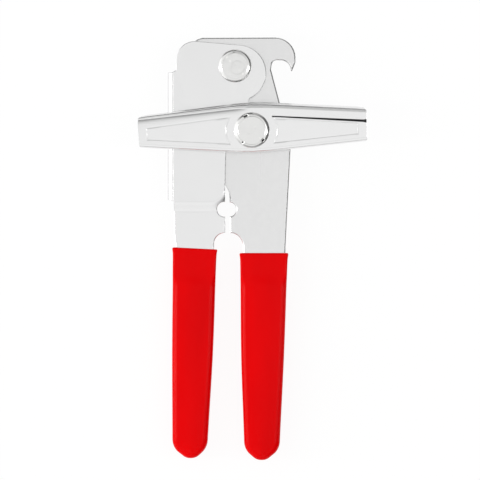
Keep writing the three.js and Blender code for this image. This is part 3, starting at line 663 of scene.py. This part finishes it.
# one closed section: rear face of the left wall, round its rim, up the side, over the front, and back
def gripSection(left, right, frontZ, thinRear, rearZ, trim, ear):
    y = (left[0].y + right[0].y) / 2
    deep = smooth((gripShape["flatEnd"] - y) / gripShape["run"])
    rounding = gripShape["flatRound"] + (gripShape["fullRound"] - gripShape["flatRound"]) * deep
    ceiling = thinRear + trim
    rimZ = ceiling + (rearZ - thinRear) * deep
    coat = gripShape["coat"]
    lip = gripShape["lip"]
    wallTop = frontZ - trim - rounding
    wallLow = rimZ + lip
    turns = [math.pi / 2 * k / 4 for k in range(5)]
    part = [(coat, ceiling)]
    part += [(coat, rimZ + (ceiling - rimZ) * share) for share in (0.66, 0.33)]
    part += [(coat - lip * (1 - math.cos(t)), rimZ + lip * deep * (1 - math.sin(t))) for t in turns]
    part += [(lip * (1 - math.sin(t)), rimZ + lip * (1 - math.cos(t))) for t in turns]
    part += [(0, wallLow + (wallTop - wallLow) * share) for share in (0.33, 0.66)]
    turns = [math.pi / 2 * k / 10 for k in range(11)]
    part += [(rounding * (1 - math.cos(t)), wallTop + rounding * math.sin(t)) for t in turns]
    start = left[0] + left[1] * rounding
    end = right[0] + right[1] * rounding
    width = (end - start).length
    loop = []
    for side, points in ((left, part), (right, part[::-1])):
        for inset, z in points:
            place = side[0] + side[1] * (inset + trim - ear * min(1.0, max(0.0, 1 - inset / 3)))
            loop.append(Vector((place.x, place.y, z + ear * 0.6 * (z > wallTop) * (inset < rounding + 0.01))))
        if side is left:
            for k in range(1, 14):
                share = k / 14
                place = start.lerp(end, share)
                lift = gripShape["crown"] * deep * math.sin(math.pi * share) * min(1.0, width / 9)
                bulge = ear * 0.6 * max(math.exp(-share * width / 1.2), math.exp(-(1 - share) * width / 1.2))
                loop.append(Vector((place.x, place.y, frontZ - trim + lift + bulge)))
    start = right[0] + right[1] * (coat + trim)
    end = left[0] + left[1] * (coat + trim)
    loop += [Vector((*start.lerp(end, k / 6), ceiling)) for k in range(1, 6)]
    return loop


def buildGrip(node):
    grip = grips[node]
    low, high = nodeBox(node)
    isLeft = node == "left_grip"
    frontZ = high.z - gripShape["crown"]
    thinRear = plateRear - gripShape["lip"]
    tip = low.y + 0.35
    top = high.y - 0.05
    sides = [gripSide(grip, outer, top, tip) for outer in (isLeft, not isLeft)]
    loops = []
    bm = bmesh.new()
    for index, (left, right) in enumerate(zip(*sides)):
        if isLeft:
            right = (right[0] - Vector((0, grip["slant"] * max(0, 1 - index / 20))), right[1])
        fromTop = top - left[0].y
        rim = gripShape["rim"]
        trim = rim - math.sqrt(max(0.0, rim ** 2 - (rim - min(rim, fromTop)) ** 2))
        ear = gripShape["ear"] * math.exp(-(fromTop / gripShape["earReach"]) ** 2)
        loops.append([bm.verts.new(p) for p in gripSection(left, right, frontZ, thinRear, low.z, trim, ear)])
    count = len(loops[0])
    for first, second in zip(loops, loops[1:]):
        for k in range(count):
            n = (k + 1) % count
            bm.faces.new((first[k], first[n], second[n], second[k]))
    bm.faces.new(loops[0][::-1])
    bmesh.ops.remove_doubles(bm, verts=bm.verts, dist=0.002)
    name = node.replace("_grip", "_dipped_grip")
    return addPiece(name, bm, grip["body"], "gripVinyl", [node], 60)


# turn key: a flattened tube with an open seam on each wing
key = dict(turn=2.1, left=-47.4, right=48.1, hubTop=12.0, hubBottom=-9.6, leftTop=7.5, leftBottom=-5.5,
           rightTop=7.9, rightBottom=-6.2, sheet=1.0, leftRoll=1.6, hubRoll=2.44, rightRoll=2.4, lowerRound=1.7,
           cornerRound=2.0, footRound=0.8, endLean=0.3, flankLean=54, flank=0.25)
seam = dict(start=8.6, inset=5.8, plain=4.6, near=0.45, far=1.0, flare=0.4)
panel = dict(depth=0.02, groove=0.04, grooveWidth=0.14, wall=0.36, hub=10.8, tip=3.8, top=5.5, bottom=3.4,
             seamGap=0.9)
crease = dict(depth=0.25, run=0.9)


def alongKey(x, left, hub, right):
    return hub + (left - hub) * x / key["left"] if x < 0 else hub + (right - hub) * x / key["right"]


def keyTop(x):
    return alongKey(x, key["leftTop"], key["hubTop"], key["rightTop"]) - 0.35 * math.exp(-(x / 5.0) ** 2)


def keyBottom(x):
    return alongKey(x, key["leftBottom"], key["hubBottom"], key["rightBottom"]) + 0.3 * math.exp(-(x / 5.0) ** 2)


def panelTop(x):
    seamSide = seam["inset"] + panel["seamGap"]
    return panel["top"] + (seamSide - panel["top"]) * smooth((x + 4) / 8)


# depth of the sunk panel at a point on the front face
def panelSink(x, y):
    tip = key["left"] if x < 0 else key["right"]
    aroundHub = math.hypot(x, y) - panel["hub"]
    inside = min(
        aroundHub,
        abs(tip) - panel["tip"] - abs(x),
        keyTop(x) - panelTop(x) - y,
        y - keyBottom(x) - panel["bottom"],
    )
    deeper = 2.2 if inside == aroundHub else 1
    groove = panel["groove"] * deeper * math.exp(-(inside / panel["grooveWidth"]) ** 2)
    return panel["depth"] * smooth(inside / panel["wall"] + 0.5) + groove


# the face dips into the fold where the left wing's upper roll begins
def creaseSink(x, below):
    return crease["depth"] * math.exp(-below / crease["run"]) * smooth((1 - x) / 9)


def seamRows(x, side):
    share = max(0.0, (abs(x) - seam["start"]) / (key["right"] - seam["start"]))
    half = (seam["near"] + (seam["far"] - seam["near"]) * share) / 2
    half += seam["flare"] / 2 * smooth((abs(x) - key["right"] + 1.6) / 1.2)
    cut = smooth((x * side + 5) / 8)
    middle = keyTop(x) - seam["plain"] - (seam["inset"] - seam["plain"]) * cut
    half = seam["near"] / 2 + (half - seam["near"] / 2) * cut
    return middle - half, middle + half


def rollTurn(y, z, radius, start, steps=7):
    turns = [start + math.pi / 2 * k / steps for k in range(1, steps)]
    return [(y + radius * math.cos(t), z + radius * math.sin(t)) for t in turns]


# the front upper edge: a roll to a steep lean, then a straight pressed flank
def frontRoll(top, face, upper):
    lean = math.radians(key["flankLean"])
    flank = key["flank"] * upper
    radius = (upper - flank) / math.sin(lean)
    turns = [lean * k / 6 for k in range(1, 7)]
    points = [(top - upper + radius * math.sin(t), face - radius * (1 - math.cos(t))) for t in turns]
    y, z = points[-1]
    return points + [(y + flank * share, z - flank * share * math.tan(lean)) for share in (0.9, 1.0)]


# one section across the key, with the places of the front and rear seams in it
def keySection(x):
    top, bottom = keyTop(x), keyBottom(x)
    rear, face = keyLow.z, keyHigh.z
    upper, lower = alongKey(x, key["leftRoll"], key["hubRoll"], key["rightRoll"]), key["lowerRound"]
    seamLow, seamHigh = seamRows(x, 1)
    rearLow, rearHigh = seamRows(x, -1)
    half = panel["wall"] / 2
    marks = [(bottom + lower, 0), (bottom + panel["bottom"] - half, 3), (bottom + panel["bottom"] + half, 6),
             (top - panelTop(x) - half, 12), (top - panelTop(x) + half, 6), (seamLow, 1), (seamHigh, 1),
             (top - upper - 1.1, 4), (top - upper - 0.4, 5), (top - upper, 5)]
    rows = [marks[0][0]]
    for (start, _), (end, steps) in zip(marks, marks[1:]):
        rows += evenSpread(start, end, steps)[1:]
    frontSeam = len(rows) - 16
    loop = [(y, face - creaseSink(x, top - upper - y)) for y in rows]
    loop += frontRoll(top, face, upper)
    loop += [(top, rear + upper)]
    loop += reversed(rollTurn(top - upper, rear + upper, upper, -math.pi / 2))
    rearRows = evenSpread(bottom + lower, rearLow, 5) + evenSpread(rearHigh, top - upper, 3)
    rearSeam = len(loop) + 3
    loop += [(y, rear) for y in reversed(rearRows)]
    loop += reversed(rollTurn(bottom + lower, rear + lower, lower, math.pi))
    loop += [(bottom, rear + lower), (bottom, face - lower)]
    loop += reversed(rollTurn(bottom + lower, face - lower, lower, math.pi / 2))
    return loop, frontSeam, rearSeam


def evenSpread(low, high, count):
    return [low + (high - low) * k / count for k in range(count + 1)]


# how far a wing reaches at a height, with its corners rounded
def wingReach(x, y):
    full, top, bottom = ((-key["left"], key["leftTop"], key["leftBottom"]) if x < 0
                         else (key["right"], key["rightTop"], key["rightBottom"]))
    reach = full - key["endLean"] * (1 if x < 0 else 0.3) * max(0.0, (3 - y) / 8)
    for radius, depth in ((key["cornerRound"], y - top), (key["footRound"], bottom - y)):
        over = min(radius, max(0.0, depth + radius))
        reach -= radius - math.sqrt(radius ** 2 - over ** 2)
    return reach


def keyStations():
    marks = [(key["left"], 0), (key["left"] + 3.4, 12), (key["left"] + 4.2, 9), (-14, 30), (-seam["start"], 40),
             (seam["start"], 36), (14, 40), (key["right"] - 4.2, 30), (key["right"] - 3.4, 9), (key["right"], 12)]
    stations = [marks[0][0]]
    for (start, _), (end, steps) in zip(marks, marks[1:]):
        stations += evenSpread(start, end, steps)[1:]
    return stations


def buildTurnKey():
    stations = keyStations()
    bm = bmesh.new()
    rows = []
    turn = Matrix.Rotation(math.radians(key["turn"]), 3, "Z")
    endRun = 3.2
    for x in stations:
        section, frontSeam, rearSeam = keySection(x)
        row = []
        for y, z in section:
            full = -key["left"] if x < 0 else key["right"]
            past = max(0.0, (abs(x) - full + endRun) / endRun)
            placed = math.copysign(abs(x) - past * (full - wingReach(x, y)), x)
            if z > keyHigh.z - 0.3:
                z -= panelSink(placed, y)
            row.append(bm.verts.new(turn @ Vector((placed, y, z))))
        rows.append(row)
    count = len(rows[0])
    for i, (first, second) in enumerate(zip(rows, rows[1:])):
        middle = (stations[i] + stations[i + 1]) / 2
        for k in range(count):
            if (middle > seam["start"] and k == frontSeam) or (middle < -seam["start"] and k == rearSeam):
                continue
            n = (k + 1) % count
            bm.faces.new((first[k], second[k], second[n], first[n]))
    piece = addPiece("butterfly_key", bm, "key_train", "platedKey", ["turn_key"], 60)
    wall = piece.modifiers.new("sheet", "SOLIDIFY")
    wall.thickness = key["sheet"] * mm
    wall.offset = -1
    # painted shade: the sheet's inner shell takes the near-black finish for the tube's shaded inside
    wall.material_offset = 1
    piece.data.materials.append(materials["paintedShadeBlack"])
    soften = piece.modifiers.new("cutEdges", "BEVEL")
    soften.width = 0.14 * mm
    soften.segments = 2
    soften.limit_method = "ANGLE"
    soften.angle_limit = math.radians(60)
    for step in range(2):
        piece.modifiers.move(1 + step, step)
    return piece


# rivet heads
pivotHead = dict(radius=6.9, height=1.9, dimple=2.8, dimpleDepth=0.045, dimpleAt=(0.9, -0.3), tail=4.6, shank=3.0)
shaftHead = dict(radius=7.4, height=1.8, shank=4.0, notches=((113, 0.95), (234, 0.35), (318, 0.7)),
                 notchAt=6.35, staked=5.2, groove=5.95)


def ringDent(x, y, at, radius, width, depth):
    return depth * math.exp(-((math.hypot(x - at[0], y - at[1]) - radius) / width) ** 2)


def pivotDents(x, y, z):
    if z < rivetHigh.z - 0.4:
        return 0
    wave = 0.04 + 0.04 * noise.noise(Vector((x * 0.35, y * 0.35, 3.0)))
    return ringDent(x, y, pivotHead["dimpleAt"], pivotHead["dimple"], 0.5, pivotHead["dimpleDepth"]) + wave


def buildPivotRivet():
    headLow = rivetHigh.z - pivotHead["height"]
    radius = pivotHead["radius"]
    tailTop = rivetLow.z + 1.1
    profile = [
        (0, rivetLow.z), (pivotHead["tail"] - 0.2, rivetLow.z, 0.5), (pivotHead["tail"], tailTop, 0.2),
        (pivotHead["shank"], tailTop), (pivotHead["shank"], headLow), (radius, headLow, 0.15),
        (radius, headLow + 0.95, 0.3), (radius - 0.75, rivetHigh.z - 0.25, 0.4), (radius - 1.6, rivetHigh.z, 1.0),
        (0, rivetHigh.z),
    ]
    bm = turnedBmesh(profile, pivot, 96, pivotDents, 0.3)
    return addPiece("pivot_rivet_head", bm, "right_arm", "stakedRivet", ["pivot_rivet"], 60)


# how fully a point lies in one of the stake marks
def notchPress(x, y):
    press = 0
    for angle, length in shaftHead["notches"]:
        a = math.radians(angle)
        dx, dy = x - shaftHead["notchAt"] * math.cos(a), y - shaftHead["notchAt"] * math.sin(a)
        along = -dx * math.sin(a) + dy * math.cos(a)
        outward = dx * math.cos(a) + dy * math.sin(a)
        press += math.exp(-(along / length) ** 4 - (outward / 0.45) ** 2)
    return press


def shaftDents(x, y, z):
    if z < shaftHigh.z - 1.0:
        return 0
    dent = 0.04 + 0.04 * noise.noise(Vector((x * 0.3, y * 0.3, 7.0)))
    dent += 0.13 * math.exp(-((math.hypot(x, y) - shaftHead["groove"]) / 0.2) ** 2)
    dent += 0.6 * notchPress(x, y)
    for spot in ((1.35, 1.05), (-1.4, -1.3)):
        dent += 0.03 * math.exp(-((x - spot[0]) ** 2 + (y - spot[1]) ** 2) / 0.3)
    return dent


def buildDriveShaft():
    headLow = shaftHigh.z - shaftHead["height"]
    radius = shaftHead["radius"]
    profile = [
        (0, 0), (shaftHead["staked"], 0, 0.5), (shaftHead["staked"], 1.0), (shaftHead["shank"], 1.0),
        (shaftHead["shank"], headLow), (radius, headLow, 0.15), (radius, headLow + 0.9, 0.25),
        (radius - 0.8, shaftHigh.z - 0.18, 0.3), (radius - 1.2, shaftHigh.z, 0.4), (0, shaftHigh.z),
    ]
    bm = turnedBmesh(profile, Vector((0, 0, 0)), 160, shaftDents, 0.14)
    # painted shade: faces in the stake marks take the near-black finish
    for face in bm.faces:
        middle = face.calc_center_median()
        if middle.z > shaftHigh.z - 1.0 and notchPress(middle.x, middle.y) > 0.45:
            face.material_index = 1
    piece = addPiece("drive_shaft_head", bm, "key_train", "stakedRivet", ["drive_shaft"], 60)
    piece.data.materials.append(materials["paintedShadeBlack"])
    return piece


# turned and toothed pieces: the frame's solids with their edges broken
brokenEdges = dict(
    pivot_spacer_washer=("right_arm", "turnedSteel", "inner_steel", 0.08),
    pivot_tail_washer=("right_arm", "turnedSteel", "inner_steel", 0.15),
    shaft_bushing=("right_arm", "turnedSteel", "inner_steel", 0.12),
    key_collar=("key_train", "turnedSteel", "inner_steel", 0.12),
    key_washer=("key_train", "turnedSteel", "inner_steel", 0.15),
    gear_thrust_washer=("key_train", "turnedSteel", "inner_steel", 0.1),
    drive_gear=("key_train", "gearSteel", "gear_steel", 0.14),
    feed_wheel=("key_train", "gearSteel", "gear_steel", 0.12),
    shaft_end_washer=("key_train", "turnedSteel", "inner_steel", 0.18),
    cutter_stud=("left_arm", "stakedRivet", "rivet", 0.15),
    cutter_spacer=("left_arm", "turnedSteel", "inner_steel", 0.15),
    cutter_gear=("cutter_train", "gearSteel", "gear_steel", 0.14),
    cutter_hub=("cutter_train", "turnedSteel", "inner_steel", 0.12),
    cutter_wheel=("cutter_train", "groundBlade", "cutter_blade", 0.05),
    cutter_end_washer=("cutter_train", "turnedSteel", "inner_steel", 0.1),
)


def buildBrokenEdges(node):
    body, material, slot, width = brokenEdges[node]
    bm = bmesh.new()
    bm.from_mesh(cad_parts[node].data)
    bmesh.ops.scale(bm, vec=(1 / mm,) * 3, verts=bm.verts)
    bmesh.ops.remove_doubles(bm, verts=bm.verts, dist=0.001)
    bmesh.ops.dissolve_limit(bm, angle_limit=math.radians(0.5), verts=bm.verts, edges=bm.edges)
    sharp = [e for e in bm.edges if len(e.link_faces) == 2 and e.calc_face_angle(0) > math.radians(25)]
    bmesh.ops.bevel(bm, geom=sharp, offset=width, segments=2, profile=0.5, affect="EDGES", clamp_overlap=True)
    return addPiece(node + "_finished", bm, body, material, [node], 30)


# making everything
addCamera()
addLights()
addTent()
addFloor()
print("camera, lights and floor are set")

groups["plateGrain"] = buildPlateGrain()
groups["edgeWear"] = buildEdgeWear()
groups["smudge"] = buildSmudge()
materials = {name: metalMaterial(name) for name in metals}
materials["gripVinyl"] = vinylMaterial()
print("materials are ready")

buildBackPlate()
buildFrontPlate()
print("plates are made")
for gripNode in grips:
    buildGrip(gripNode)
print("grips are dipped")
buildTurnKey()
buildPivotRivet()
buildDriveShaft()
print("key and rivets are made")
for washer in brokenEdges:
    buildBrokenEdges(washer)
print("gears, washers and cutter are finished")
